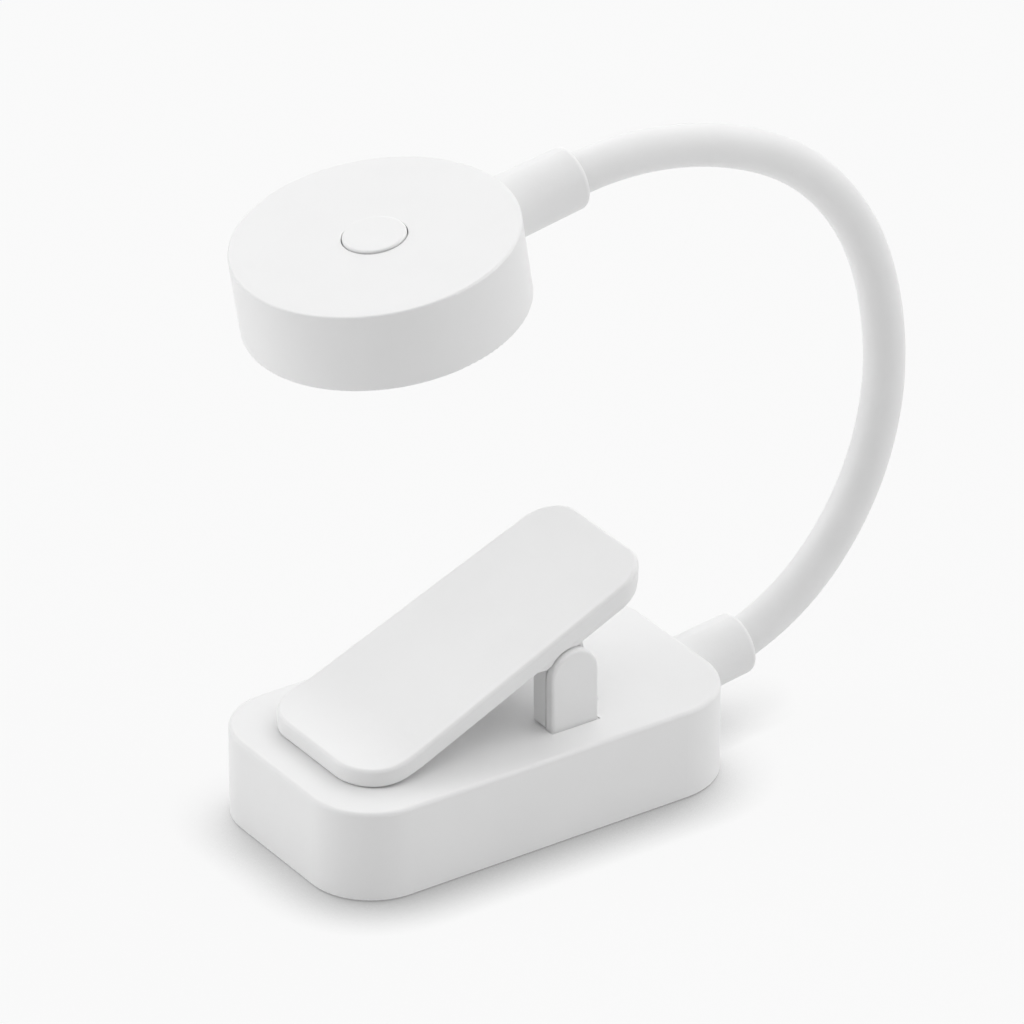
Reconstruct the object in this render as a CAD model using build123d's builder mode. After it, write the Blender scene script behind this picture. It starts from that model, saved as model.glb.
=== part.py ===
from build123d import *
import math
import os

os.makedirs("parts", exist_ok=True)

# A battery clip light: a flat case with a sprung clip lever on its deck, a
# bendable neck and a round lamp head with a push button on its top.
# The origin is on the table under the middle of the case. +X runs along the
# case to the end where the neck leaves it, +Z is up, and Y = 0 halves it.

# Case
case_length = 88.3
case_width = 50.0
deck_height = 18.5
front_corner_radius = 12.9
back_corner_radius = 14.2
case_wall = 1.8
case_edge_round = 0.8
foot_lift = 0.4
fit_gap = 0.1

# Bottom plate, its screws and the feet
plate_thickness = 1.8
case_screw_inset_x = 7.65
case_screw_inset_y = 7.5
boss_radius = 2.6
boss_root = 0.5
case_screw_radius = 1.1
case_screw_head_radius = 2.0
case_screw_length = 9.0
thread_gap = 0.02
screw_slot_width = 0.45
screw_slot_share = 0.6
foot_radius = 3.5
foot_recess = 0.5
foot_inset_x = 7.2
foot_offset_y = 10.0

# Cells and their tray
cell_radius = 5.25
cell_body_length = 43.6
cell_tip_radius = 1.9
cell_tip_length = 0.9
cell_pitch = 11.0
cell_count = 3
cell_lift = 0.8
tray_wall = 1.0
tray_front_gap = 11.0
tray_side_gap = 0.35
tray_height = 14.1
contact_thickness = 0.4
contact_width = 8.4
contact_height = 7.0
battery_spring_length = 3.2
battery_spring_radius = 2.3
battery_spring_wire = 0.25
battery_spring_turns = 2.5

# Battery door
door_gap = 0.2
door_inset = 0.3
door_tongue_length = 6.6
door_tongue_width = 9.0
door_tongue_thickness = 0.9
door_tab_width = 5.0
door_tab_reach = 2.4
door_tab_root = 2.5
door_tab_thickness = 0.9
door_screw_radius = 1.0
door_screw_head_radius = 1.8
door_screw_length = 4.6
door_screw_inset = 2.6
door_screw_boss_radius = 2.4
door_screw_boss_height = 3.4

# Driver board
board_thickness = 1.0
board_back_gap = 5.4
board_width = 26.0
board_standoff = 1.0
board_standoff_radius = 1.9
board_screw_depth = 2.0
board_screw_inset_x = 4.0
board_screw_inset_y = 2.2
board_gap_from_tray = 5.6
board_screw_radius = 0.8
board_screw_head_radius = 1.5
board_screw_head_height = 0.8
chip_length = 3.9
chip_width = 4.9
chip_height = 1.1

# Collars that hold the ends of the neck
collar_root_radius = 6.2
collar_radius = 6.0
collar_round = 1.1
collar_pitch = 7.7
collar_height = 10.25
base_collar_length = 15.3
head_collar_length = 15.64
collar_bore_radius = 4.1
collar_mouth_radius = 4.8
collar_mouth_depth = 7.0
collar_inner_length = 4.0

# Neck: a mouth bend, then equal links, each one arc
neck_radius = 4.0
sleeve_bore_radius = 2.75
core_radius = 2.7
core_bore_radius = 1.15
wire_radius = 0.45
wire_spacing = 1.1
lead_inset = 2.4
lead_reach = 6.0
mouth_bend_length = 6.0
mouth_bend_turn = 12.7
link_length = 20.66
link_turns = [27.7, 22.1, 20.6, 16.3, 22.4, 23.6, 16.3, 18.3]
head_bend_length = 6.0
head_bend_turn = 1.4
bend_outside = 1.8
link_tilt = 25.0
knuckle_gap = 0.1
core_overrun = 2.7
wire_overrun = 3.0
core_start_gap = 0.05
sleeve_end_inset = 0.6
core_tail_length = 8.0
ferrule_radius = 3.2
ferrule_length = 7.0
strap_thickness = 0.8
strap_length = 5.0
strap_boss_radius = 1.8
strap_screw_radius = 0.8
strap_screw_length = 4.0

# Clip lever
lever_thickness = 3.45
lever_slope = 23.1
lever_nose_gap = 0.2
lever_front_inset = 7.55
lever_bend_inset = 15.15
lever_bend_radius = 28.0
lever_tail_x = 28.2
lever_nose_half_width = 17.8
lever_tail_half_width = 16.1
lever_nose_corner = 9.2
lever_tail_corner = 7.3
lever_edge_round = 0.7
lever_under_round = 0.4
lever_rim_depth = 1.15
lever_rim_width = 1.4
lever_rim_inset = 0.2
lever_rim_round = 0.3
lever_rim_front = 8.0
lever_rim_relief = 0.35

# Ears, hinge pin and lugs
pin_x = 10.0
pin_height = 10.6
pin_radius = 1.5
pin_running_gap = 0.05
ear_radius = 5.12
ear_inner_y = 15.55
ear_thickness = 2.0
ear_edge_round = 0.6
ear_groove_width = 0.25
ear_groove_depth = 0.3
pin_seat_depth = 1.3
lug_gap = 0.33
lug_thickness = 3.8
lug_foot_gap = 0.3
lug_waist = 4.3
lug_neck = 2.4
lug_root = 0.6
lever_open_angle = 28.0
stop_length = 2.0

# Lever spring
spring_wire_radius = 0.5
spring_coil_gap = 0.3
spring_pitch = 1.55
spring_full_turns = 4
spring_touch_gap = 0.02
spring_leg_x = 21.0

# Jaw pads
pad_length = 5.6
pad_width = 22.0
pad_thickness = 0.8
pad_front_gap = 1.3
pad_groove_width = 0.5
pad_groove_depth = 0.35
pad_groove_pitch = 1.3
pad_groove_count = 4

# Lamp head, measured from its top face
head_radius = 26.4
head_height = 15.6
head_wall = 1.8
head_edge_round = 0.4
head_axis_depth = 7.0
button_radius = 5.85
button_gap = 0.22
button_proud = 0.5
button_round = 0.4
button_travel = 0.6
button_flange_radius = 7.9
button_flange_thickness = 0.8
button_stem_radius = 2.2
switch_size = 6.0
switch_height = 3.2
plunger_radius = 1.7
plunger_height = 0.7
plunger_bore_depth = 1.4
plunger_side_gap = 0.06
switch_board_depth = 8.6
switch_board_length = 12.0
switch_board_width = 27.0
switch_post_y = 10.8
small_boss_radius = 1.9
lamp_board_depth = 11.4
lamp_board_gap = 1.0
lamp_boss_inset = 5.6
lamp_boss_count = 3
lamp_screw_length = 4.5
led_count = 12
led_inset = 10.6
led_length = 3.5
led_width = 2.8
led_height = 0.8
lens_thickness = 1.4
lens_recess = 0.3
lens_gap = 0.15
lens_rim_width = 1.2


def write(piece, name):
    piece.part.label = name
    export_step(piece.part, f"parts/{name}.step")


# Heights that the pieces share
case_bottom = foot_lift
plate_top = case_bottom + plate_thickness
roof_height = deck_height - case_wall
back_x = case_length / 2
front_x = -case_length / 2
pin_z = deck_height + pin_height
pin_point = Vector(pin_x, 0, pin_z)


def heading_vector(degrees):
    return Vector(math.cos(math.radians(degrees)), 0, math.sin(math.radians(degrees)))


def arc_end(start, heading, length, turn):
    """The far end of an arc that starts along heading and turns by turn degrees."""
    half = math.radians(turn) / 2
    return start + heading_vector(heading + turn / 2) * (length * math.sin(half) / half)


# The neck's route starts in the collar of the case and is followed arc by arc. Its
# first and last bends lie in the mouths of the collars, all but bend_outside.
base_collar_root = Vector(back_x, 0, collar_height)
base_collar_axis = heading_vector(collar_pitch)
base_collar_end = base_collar_root + base_collar_axis * base_collar_length

bend_start = base_collar_end - base_collar_axis * (mouth_bend_length - bend_outside)
arcs = [(bend_start, collar_pitch, mouth_bend_length, mouth_bend_turn)]
for turn in link_turns:
    start, heading, length, last_turn = arcs[-1]
    arcs.append((arc_end(start, heading, length, last_turn), heading + last_turn, link_length, turn))
start, heading, length, last_turn = arcs[-1]
head_bend_start = arc_end(start, heading, length, last_turn)
arcs.append((head_bend_start, heading + last_turn, head_bend_length, head_bend_turn))
head_heading = heading + last_turn + head_bend_turn

# The lamp head hangs on the end of the neck. In its own plane x runs from the
# middle of the head to its collar, and z is up out of its top face.
head_axis = heading_vector(head_heading - 180)
head_normal = heading_vector(head_heading - 90)
head_origin = head_bend_start - head_axis * (head_radius + head_collar_length + bend_outside)
head_origin = head_origin + head_normal * head_axis_depth
head_plane = Plane(origin=head_origin, x_dir=head_axis, z_dir=head_normal)
head_tail = arc_end(head_bend_start, arcs[-1][1], head_bend_length, head_bend_turn)


def end_round(outer, inner):
    """The largest round that leaves a little of the end wall flat."""
    return min(collar_round, (outer - inner) * 0.9)


def case_outline(inset):
    """The outline of the case in plan, drawn in by inset."""
    with BuildSketch(mode=Mode.PRIVATE) as outline:
        Rectangle(case_length - 2 * inset, case_width - 2 * inset)
        ends = outline.vertices().group_by(Axis.X)
        fillet(ends[0], front_corner_radius - inset)
        ends = outline.vertices().group_by(Axis.X)
        fillet(ends[-1], back_corner_radius - inset)
    return outline.sketch


case_screw_spots = [
    (side_x * (case_length / 2 - case_screw_inset_x), side_y * (case_width / 2 - case_screw_inset_y))
    for side_x in (-1, 1)
    for side_y in (-1, 1)
]
foot_spots = [
    (side_x * (case_length / 2 - foot_inset_x), side_y * foot_offset_y)
    for side_x in (-1, 1)
    for side_y in (-1, 1)
]

# Tray and door places, from the cells outwards
cell_length = cell_body_length + cell_tip_length
tray_inner_length = cell_length + battery_spring_length + 2 * contact_thickness
tray_inner_width = (cell_count - 1) * cell_pitch + 2 * cell_radius + 2 * tray_side_gap
tray_x = front_x + tray_front_gap + tray_wall + tray_inner_length / 2
tray_front = tray_x - tray_inner_length / 2
tray_back = tray_x + tray_inner_length / 2
cell_z = plate_top + cell_lift + cell_radius
cell_rows = [(row - (cell_count - 1) / 2) * cell_pitch for row in range(cell_count)]
door_length = tray_inner_length - 2 * door_inset
door_width = tray_inner_width - 2 * door_inset
door_back = tray_x + door_length / 2
door_front = tray_x - door_length / 2
door_screw_x = door_back + door_tongue_length - door_screw_inset

# Driver board place, behind the tray
board_front = tray_back + tray_wall + board_gap_from_tray
board_length = back_x - case_wall - board_back_gap - board_front
board_x = board_front + board_length / 2
board_z = plate_top + board_standoff
board_screw_spots = [
    (board_front + board_screw_inset_x, side * (board_width / 2 - board_screw_inset_y))
    for side in (-1, 1)
]

# Jaw pad place, under the flat nose of the lever
nose_x = front_x + lever_front_inset
bend_x = front_x + lever_bend_inset
pad_x = nose_x + pad_front_gap + pad_length / 2

# Both ends of the neck run straight inside their collars, and the core goes on
# to a ferrule that a strap holds. Each hold plane has x along the neck's axis,
# away from the ferrule's free end, and z towards the wall that carries the strap.
base_socket_length = base_collar_length + bend_outside - mouth_bend_length
base_socket_length = base_socket_length + collar_inner_length - sleeve_end_inset
base_socket = bend_start - base_collar_axis * base_socket_length
base_core_end = base_socket - base_collar_axis * core_tail_length
base_hold = Plane(
    origin=base_core_end + base_collar_axis * (ferrule_length / 2),
    x_dir=base_collar_axis,
    z_dir=heading_vector(collar_pitch + 90),
)
head_socket_length = head_collar_length + bend_outside - head_bend_length
head_socket_length = head_socket_length + head_wall + sleeve_end_inset
head_socket = head_tail - head_axis * head_socket_length
head_core_end = head_socket - head_axis * core_tail_length
head_hold = Plane(
    origin=head_core_end + head_axis * (ferrule_length / 2),
    x_dir=head_axis,
    z_dir=head_normal,
)
seat_radius = ferrule_radius + fit_gap / 2
strap_screw_y = seat_radius + strap_thickness + strap_boss_radius
strap_screw_spots = [(0, -strap_screw_y), (0, strap_screw_y)]


def across(hold):
    """The plane across the neck where its strap starts; its y points to the wall."""
    start = hold.origin - hold.x_dir * (strap_length / 2)
    return Plane(origin=start, x_dir=hold.y_dir, z_dir=hold.x_dir)


# Case shell: deck, side walls, ears for the hinge pin and the neck's collar,
# moulded in one piece and open underneath.
with BuildPart() as case_shell:
    with BuildSketch(Plane.XY.offset(case_bottom)):
        add(case_outline(0))
    extrude(amount=deck_height - case_bottom)
    fillet(case_shell.faces().sort_by(Axis.Z)[-1].edges(), case_edge_round)
    with BuildSketch(Plane.XY.offset(case_bottom)):
        add(case_outline(case_wall))
    extrude(amount=roof_height - case_bottom, mode=Mode.SUBTRACT)

    # Collar, on an axis that leaves the back wall a little upwards
    collar_start = base_collar_root - base_collar_axis * collar_inner_length
    with Locations(Plane(origin=collar_start, z_dir=base_collar_axis)):
        Cone(
            collar_root_radius,
            collar_radius,
            collar_inner_length + base_collar_length,
            align=(Align.CENTER, Align.CENTER, Align.MIN),
        )
    collar_rim = case_shell.faces().sort_by(Axis.X)[-1].edges()
    fillet(collar_rim, end_round(collar_radius, collar_mouth_radius))
    with Locations(Plane(origin=collar_start, z_dir=base_collar_axis)):
        Cylinder(
            collar_bore_radius,
            collar_inner_length + base_collar_length,
            align=(Align.CENTER, Align.CENTER, Align.MIN),
            mode=Mode.SUBTRACT,
        )
    with Locations(Plane(origin=base_collar_end, z_dir=base_collar_axis * -1)):
        Cone(
            collar_mouth_radius,
            collar_bore_radius,
            collar_mouth_depth,
            align=(Align.CENTER, Align.CENTER, Align.MIN),
            mode=Mode.SUBTRACT,
        )

    # Ears: a thin plate with a round top beside each of the lever's lugs, with a fine
    # groove round its foot
    for side in (-1, 1):
        outer_y = side * (ear_inner_y + ear_thickness)
        with Locations((pin_x, side * (ear_inner_y + ear_thickness / 2), deck_height)):
            Box(
                2 * (ear_radius + ear_groove_width),
                ear_thickness + 2 * ear_groove_width,
                ear_groove_depth,
                align=(Align.CENTER, Align.CENTER, Align.MAX),
                mode=Mode.SUBTRACT,
            )
        with BuildPart(mode=Mode.PRIVATE) as ear:
            with BuildSketch(Plane.XZ.offset(-outer_y)):
                with Locations((pin_x, pin_z)):
                    Rectangle(
                        2 * ear_radius, pin_height + ear_groove_depth, align=(Align.CENTER, Align.MAX)
                    )
                    Circle(ear_radius)
            extrude(amount=side * ear_thickness)
            outer_face = ear.faces().sort_by(Axis.Y)[0 if side < 0 else -1]
            fillet(outer_face.edges().filter_by(lambda e: e.center().Z > deck_height + 0.1), ear_edge_round)
        add(ear.part)
        with Locations(Plane(origin=(pin_x, side * ear_inner_y, pin_z), z_dir=(0, side, 0))):
            Cylinder(
                pin_radius,
                pin_seat_depth,
                align=(Align.CENTER, Align.CENTER, Align.MIN),
                mode=Mode.SUBTRACT,
            )

    # Recess for the lower jaw pad
    with Locations((pad_x, 0, deck_height)):
        Box(
            pad_length + 2 * fit_gap,
            pad_width + 2 * fit_gap,
            pad_thickness,
            align=(Align.CENTER, Align.CENTER, Align.MAX),
            mode=Mode.SUBTRACT,
        )

    # Bosses for the case screws, from the roof down to the bottom plate
    with Locations([(x, y, plate_top) for x, y in case_screw_spots]):
        Cylinder(
            boss_radius,
            roof_height - plate_top,
            align=(Align.CENTER, Align.CENTER, Align.MIN),
        )
    with Locations([(x, y, plate_top) for x, y in case_screw_spots]):
        Cylinder(
            case_screw_radius,
            case_screw_length,
            align=(Align.CENTER, Align.CENTER, Align.MIN),
            mode=Mode.SUBTRACT,
        )

    # Saddle and bosses for the strap that holds the end of the neck
    strap_boss_height = (roof_height - base_hold.origin.Z) / math.cos(math.radians(collar_pitch))
    with BuildSketch(across(base_hold)):
        Rectangle(
            2 * strap_screw_y,
            strap_boss_height + boss_root,
            align=(Align.CENTER, Align.MIN),
        )
        Circle(seat_radius, mode=Mode.SUBTRACT)
    extrude(amount=strap_length)
    with BuildSketch(base_hold):
        with Locations(strap_screw_spots):
            Circle(strap_boss_radius)
    extrude(amount=strap_boss_height + boss_root)
    with BuildSketch(base_hold):
        with Locations(strap_screw_spots):
            Circle(strap_screw_radius)
    extrude(amount=strap_screw_length - strap_thickness, mode=Mode.SUBTRACT)
write(case_shell, "case_shell")


def cross_recess(head_radius, depth):
    """Cuts a cross recess into the head of the screw that is being built."""
    for slot in ((1.3 * head_radius, screw_slot_width), (screw_slot_width, 1.3 * head_radius)):
        Box(*slot, depth, align=(Align.CENTER, Align.CENTER, Align.MAX), mode=Mode.SUBTRACT)


def flat_head_screw(head_radius, shank_radius, length):
    """A countersunk screw that points down, with the top of its head at z = 0."""
    head_height = head_radius - shank_radius
    with BuildPart(mode=Mode.PRIVATE) as screw:
        Cone(shank_radius, head_radius, head_height, align=(Align.CENTER, Align.CENTER, Align.MAX))
        Cylinder(
            shank_radius - thread_gap,
            length,
            align=(Align.CENTER, Align.CENTER, Align.MAX),
        )
        cross_recess(head_radius, head_height * screw_slot_share)
    return screw.part


def pan_head_screw(head_radius, head_height, shank_radius, length):
    """A pan-head screw that points down, with the underside of its head at z = 0."""
    with BuildPart(mode=Mode.PRIVATE) as screw:
        Cylinder(head_radius, head_height, align=(Align.CENTER, Align.CENTER, Align.MIN))
        fillet(screw.edges().group_by(Axis.Z)[-1], head_height * 0.45)
        Cylinder(
            shank_radius - thread_gap,
            length,
            align=(Align.CENTER, Align.CENTER, Align.MAX),
        )
        with Locations((0, 0, head_height)):
            cross_recess(head_radius, head_height * screw_slot_share)
    return screw.part


def below(x, y, z):
    """A place whose z axis points down, for what is put in from underneath."""
    return Plane(origin=(x, y, z), x_dir=(1, 0, 0), z_dir=(0, 0, -1))


# Bottom plate: closes the case, carries the door, the board and the feet.
with BuildPart() as bottom_plate:
    with BuildSketch(Plane.XY.offset(case_bottom)):
        add(case_outline(case_wall + fit_gap))
    extrude(amount=plate_thickness)
    with BuildSketch(Plane.XY.offset(case_bottom)):
        with Locations((tray_x, 0)):
            Rectangle(door_length, door_width)
    extrude(amount=plate_thickness, mode=Mode.SUBTRACT)
    # Boss and pocket for the door's tongue and its screw
    with Locations((door_screw_x, 0, plate_top)):
        Cylinder(
            door_screw_boss_radius,
            door_screw_boss_height,
            align=(Align.CENTER, Align.CENTER, Align.MIN),
        )
    with Locations((door_back, 0, case_bottom)):
        Box(
            door_tongue_length + door_gap,
            door_tongue_width + 2 * door_gap,
            door_tongue_thickness + fit_gap,
            align=(Align.MIN, Align.CENTER, Align.MIN),
            mode=Mode.SUBTRACT,
        )
    with Locations((door_screw_x, 0, case_bottom)):
        Cylinder(
            door_screw_radius,
            door_screw_length,
            align=(Align.CENTER, Align.CENTER, Align.MIN),
            mode=Mode.SUBTRACT,
        )
    # Seats for the four case screws
    with Locations([below(x, y, case_bottom) for x, y in case_screw_spots]):
        CounterSinkHole(case_screw_radius + fit_gap, case_screw_head_radius + fit_gap, plate_thickness)
    # Recesses for the feet
    with Locations([(x, y, case_bottom) for x, y in foot_spots]):
        Cylinder(
            foot_radius + fit_gap / 2,
            foot_recess,
            align=(Align.CENTER, Align.CENTER, Align.MIN),
            mode=Mode.SUBTRACT,
        )
    # Standoffs that the driver board is screwed to
    with Locations([(x, y, plate_top) for x, y in board_screw_spots]):
        Cylinder(
            board_standoff_radius,
            board_standoff,
            align=(Align.CENTER, Align.CENTER, Align.MIN),
        )
    with Locations([(x, y, board_z) for x, y in board_screw_spots]):
        Cylinder(
            board_screw_radius,
            board_screw_depth,
            align=(Align.CENTER, Align.CENTER, Align.MAX),
            mode=Mode.SUBTRACT,
        )
write(bottom_plate, "bottom_plate")

with BuildPart() as case_screws:
    with Locations([below(x, y, case_bottom) for x, y in case_screw_spots]):
        add(flat_head_screw(case_screw_head_radius, case_screw_radius, case_screw_length))
write(case_screws, "case_screws")

with BuildPart() as feet:
    with Locations([(x, y, 0) for x, y in foot_spots]):
        Cylinder(
            foot_radius,
            foot_lift + foot_recess,
            align=(Align.CENTER, Align.CENTER, Align.MIN),
        )
    fillet(feet.edges().group_by(Axis.Z)[0], foot_lift * 0.6)
write(feet, "feet")

# Battery door: hooks in at the front with two tabs, one screw at the back.
with BuildPart() as battery_door:
    with Locations((tray_x, 0, case_bottom)):
        Box(
            door_length - 2 * door_gap,
            door_width - 2 * door_gap,
            plate_thickness,
            align=(Align.CENTER, Align.CENTER, Align.MIN),
        )
    with Locations((door_back - door_gap, 0, case_bottom)):
        Box(
            door_tongue_length,
            door_tongue_width,
            door_tongue_thickness,
            align=(Align.MIN, Align.CENTER, Align.MIN),
        )
    for side in (-1, 1):
        with Locations((door_front + door_gap, side * cell_pitch / 2, plate_top)):
            Box(
                door_tab_root,
                door_tab_width,
                fit_gap + door_tab_thickness,
                align=(Align.MIN, Align.CENTER, Align.MIN),
            )
        with Locations((door_front + door_gap + door_tab_root, side * cell_pitch / 2, plate_top + fit_gap)):
            Box(
                door_tab_root + door_tab_reach,
                door_tab_width,
                door_tab_thickness,
                align=(Align.MAX, Align.CENTER, Align.MIN),
            )
    with Locations(below(door_screw_x, 0, case_bottom)):
        CounterSinkHole(
            door_screw_radius + fit_gap,
            door_screw_head_radius + fit_gap,
            door_tongue_thickness,
        )
write(battery_door, "battery_door")

with BuildPart() as door_screw:
    with Locations(below(door_screw_x, 0, case_bottom)):
        add(flat_head_screw(door_screw_head_radius, door_screw_radius, door_screw_length))
write(door_screw, "door_screw")

# Tray: a roofed frame that stands on the bottom plate round the cells.
with BuildPart() as battery_tray:
    with Locations((tray_x, 0, plate_top)):
        Box(
            tray_inner_length + 2 * tray_wall,
            tray_inner_width + 2 * tray_wall,
            tray_height,
            align=(Align.CENTER, Align.CENTER, Align.MIN),
        )
        Box(
            tray_inner_length,
            tray_inner_width,
            tray_height - tray_wall,
            align=(Align.CENTER, Align.CENTER, Align.MIN),
            mode=Mode.SUBTRACT,
        )
    with Locations([(tray_front, side * cell_pitch / 2, plate_top) for side in (-1, 1)]):
        Box(
            2 * (tray_wall + door_gap),
            door_tab_width + 2 * door_gap,
            door_tab_thickness + 3 * fit_gap,
            align=(Align.CENTER, Align.CENTER, Align.MIN),
            mode=Mode.SUBTRACT,
        )
write(battery_tray, "battery_tray")

# Cells lie side by side and point in turn backwards and forwards.
for number, row_y in enumerate(cell_rows, start=1):
    points_back = number % 2 == 1
    tip_way = 1 if points_back else -1
    flat_end = tray_front if points_back else tray_back
    flat_end = flat_end + tip_way * (contact_thickness + battery_spring_length)
    with BuildPart() as cell:
        with Locations(Plane(origin=(flat_end, row_y, cell_z), z_dir=(tip_way, 0, 0))):
            Cylinder(
                cell_radius,
                cell_body_length,
                align=(Align.CENTER, Align.CENTER, Align.MIN),
            )
            Cylinder(
                cell_tip_radius,
                cell_length,
                align=(Align.CENTER, Align.CENTER, Align.MIN),
            )
    write(cell, f"battery_{number}")

# Contact plates: each end has one plate across two cells and one for a single cell.
with BuildPart() as contact_plates:
    for end_x, align_x, bridged in (
        (tray_front, Align.MIN, cell_rows[-2:]),
        (tray_back, Align.MAX, cell_rows[:2]),
    ):
        single = [row for row in cell_rows if row not in bridged]
        for rows in (bridged, single):
            with Locations((end_x, sum(rows) / len(rows), cell_z)):
                Box(
                    contact_thickness,
                    rows[-1] - rows[0] + contact_width,
                    contact_height,
                    align=(align_x, Align.CENTER, Align.CENTER),
                )
write(contact_plates, "contact_plates")


def arc_through(start, direction, end):
    """The middle of the arc that leaves start along direction and stops at end."""
    chord = end - start
    along = chord.normalized()
    aside = direction - along * direction.dot(along)
    bow = math.radians(direction.get_angle(chord)) / 2
    return (start + end) * 0.5 + aside.normalized() * (chord.length / 2 * math.tan(bow))


def coil(place, radius, first_angle, last_angle, rise):
    """Draws a coil about the z axis of place, each quarter turn as two arcs that meet."""
    turned = math.radians(last_angle - first_angle)
    slope = rise / (radius * turned)
    steps = math.ceil(abs(turned) / (math.pi / 2))

    def spot(share):
        angle = math.radians(first_angle) + turned * share
        return place.from_local_coords(
            Vector(radius * math.cos(angle), radius * math.sin(angle), rise * (share - 0.5))
        )

    def direction(share):
        angle = math.radians(first_angle) + turned * share
        way = math.copysign(1, turned)
        local = Vector(-math.sin(angle) * way, math.cos(angle) * way, slope * way)
        return (place.x_dir * local.X + place.y_dir * local.Y + place.z_dir * local.Z).normalized()

    for step in range(steps):
        start, end = spot(step / steps), spot((step + 1) / steps)
        leave, arrive = direction(step / steps), direction((step + 1) / steps)
        chord, both = end - start, leave + arrive
        spare = 4 - both.dot(both)
        reach = (math.sqrt(chord.dot(both) ** 2 + spare * chord.dot(chord)) - chord.dot(both)) / spare
        meet = (start + leave * reach + end - arrive * reach) * 0.5
        ThreePointArc(start, arc_through(start, leave, meet), meet)
        ThreePointArc(meet, arc_through(end, arrive * -1, meet), end)
    return spot(0), direction(0), spot(1), direction(1)


# Battery springs press each cell's flat end.
with BuildPart() as battery_springs:
    for number, row_y in enumerate(cell_rows, start=1):
        points_back = number % 2 == 1
        tip_way = 1 if points_back else -1
        plate_x = tray_front + contact_thickness if points_back else tray_back - contact_thickness
        coil_rise = battery_spring_length - 2 * battery_spring_wire - 2 * spring_touch_gap
        coil_middle = (plate_x + tip_way * battery_spring_length / 2, row_y, cell_z)
        with BuildLine() as spring_line:
            spring_start = coil(
                Plane(origin=coil_middle, x_dir=(0, 1, 0), z_dir=(tip_way, 0, 0)),
                battery_spring_radius,
                0,
                360 * battery_spring_turns,
                coil_rise,
            )
        with BuildSketch(Plane(origin=spring_start[0], z_dir=spring_start[1])):
            Circle(battery_spring_wire)
        sweep(path=spring_line.wire())
write(battery_springs, "battery_springs")

# Driver board with its chip, screwed to the standoffs of the bottom plate
with BuildPart() as driver_board:
    with Locations((board_x, 0, board_z)):
        Box(
            board_length,
            board_width,
            board_thickness,
            align=(Align.CENTER, Align.CENTER, Align.MIN),
        )
    with Locations((board_x, 0, board_z + board_thickness)):
        Box(
            chip_length,
            chip_width,
            chip_height,
            align=(Align.CENTER, Align.CENTER, Align.MIN),
        )
    with Locations([(x, y, board_z) for x, y in board_screw_spots]):
        Cylinder(
            board_screw_radius + fit_gap,
            board_thickness,
            align=(Align.CENTER, Align.CENTER, Align.MIN),
            mode=Mode.SUBTRACT,
        )
write(driver_board, "driver_board")

with BuildPart() as board_screws:
    with Locations([(x, y, board_z + board_thickness) for x, y in board_screw_spots]):
        add(
            pan_head_screw(
                board_screw_head_radius,
                board_screw_head_height,
                board_screw_radius,
                board_thickness + board_screw_depth,
            )
        )
write(board_screws, "board_screws")


# Hinge pin: a steel rod in the blind seats of the two ears
with BuildPart() as hinge_pin:
    pin_half_length = ear_inner_y + pin_seat_depth - fit_gap
    with Locations(Plane(origin=(pin_x, -pin_half_length, pin_z), z_dir=(0, 1, 0))):
        Cylinder(
            pin_radius,
            2 * pin_half_length,
            align=(Align.CENTER, Align.CENTER, Align.MIN),
        )
    chamfer(hinge_pin.edges().filter_by(GeomType.CIRCLE), fit_gap * 2)
write(hinge_pin, "hinge_pin")


# Lever: a moulded plate with a flat nose and a sloping tail
slope_tan = math.tan(math.radians(lever_slope))
slope_cos = math.cos(math.radians(lever_slope))
nose_under = deck_height + lever_nose_gap
nose_top = nose_under + lever_thickness
under_bend_x = bend_x + lever_thickness * math.tan(math.radians(lever_slope / 2))


def lever_under(x):
    """Height of the underside of the sloping tail at x."""
    return nose_under + (x - under_bend_x) * slope_tan


def lever_outline(inset):
    """The outline of the lever in plan, drawn in by inset."""
    with BuildSketch(mode=Mode.PRIVATE) as outline:
        with BuildLine():
            Polyline(
                (nose_x, -lever_nose_half_width),
                (nose_x, lever_nose_half_width),
                (lever_tail_x, lever_tail_half_width),
                (lever_tail_x, -lever_tail_half_width),
                close=True,
            )
        make_face()
        fillet(outline.vertices().group_by(Axis.X)[0], lever_nose_corner)
        fillet(outline.vertices().group_by(Axis.X)[-1], lever_tail_corner)
        if inset > 0:
            offset(amount=-inset, mode=Mode.REPLACE)
    return outline.sketch


def outer_edges(faces):
    """The edges that belong to only one of the faces."""
    edges = [edge for face in faces for edge in face.edges()]
    return [edge for edge in edges if sum(edge.is_same(other) for other in edges) == 1]


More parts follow.
